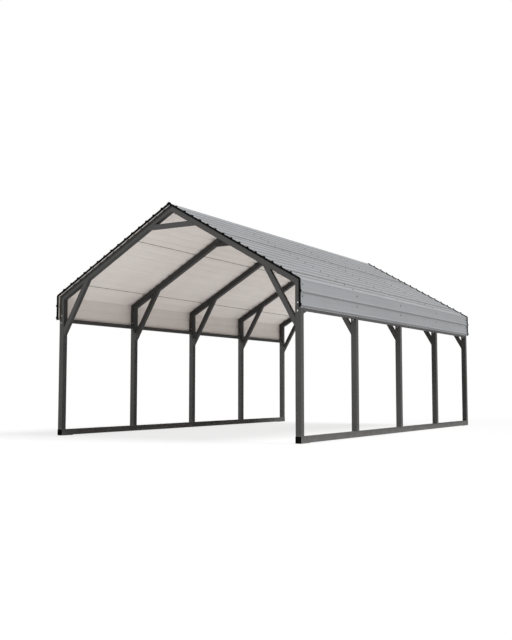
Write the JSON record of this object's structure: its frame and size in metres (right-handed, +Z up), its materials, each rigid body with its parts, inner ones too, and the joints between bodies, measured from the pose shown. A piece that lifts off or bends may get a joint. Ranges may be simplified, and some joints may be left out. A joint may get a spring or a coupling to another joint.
{
  "type": "carport",
  "caption": "Open single carport: square-tube steel bents with knee braces and collar ties on ground rails, under a gable roof of ribbed sheets that bend down into fascias.",
  "frame": {"origin": "on the ground at the middle of the carport's outline, on its centre plane", "axes": "+X to the right seen from the front gable, +Y along the roof to the back gable, +Z up"},
  "size_m": [3.6752, 6.156, 2.9086],
  "materials": {
    "frame": "satin",
    "foot_plate": "matte",
    "end_cap": "matte",
    "roof_sheet": "satin",
    "edging": "matte"
  },
  "bodies": {
    "root": {"left_post_1": "frame", "right_post_1": "frame", "left_rafter_1": "frame", "right_rafter_1": "frame", "knee_braces_1": "frame", "collar_tie_1": "frame", "left_post_2": "frame", "right_post_2": "frame", "left_rafter_2": "frame", "right_rafter_2": "frame", "knee_braces_2": "frame", "collar_tie_2": "frame", "left_post_3": "frame", "right_post_3": "frame", "left_rafter_3": "frame", "right_rafter_3": "frame", "knee_braces_3": "frame", "collar_tie_3": "frame", "left_post_4": "frame", "right_post_4": "frame", "left_rafter_4": "frame", "right_rafter_4": "frame", "knee_braces_4": "frame", "collar_tie_4": "frame", "left_post_5": "frame", "right_post_5": "frame", "left_rafter_5": "frame", "right_rafter_5": "frame", "knee_braces_5": "frame", "collar_tie_5": "frame", "left_base_rail": "frame", "right_base_rail": "frame", "rail_corner_pieces": "frame", "post_sleeves": "frame", "rail_sleeves": "frame", "left_eave_purlin": "frame", "right_eave_purlin": "frame", "foot_plates": "foot_plate", "rail_end_caps": "end_cap", "ridge_sheet": "roof_sheet", "left_middle_sheet": "roof_sheet", "right_middle_sheet": "roof_sheet", "left_eave_sheet": "roof_sheet", "right_eave_sheet": "roof_sheet", "front_gable_edging": "edging", "back_gable_edging": "edging"}
  },
  "joints": []
}
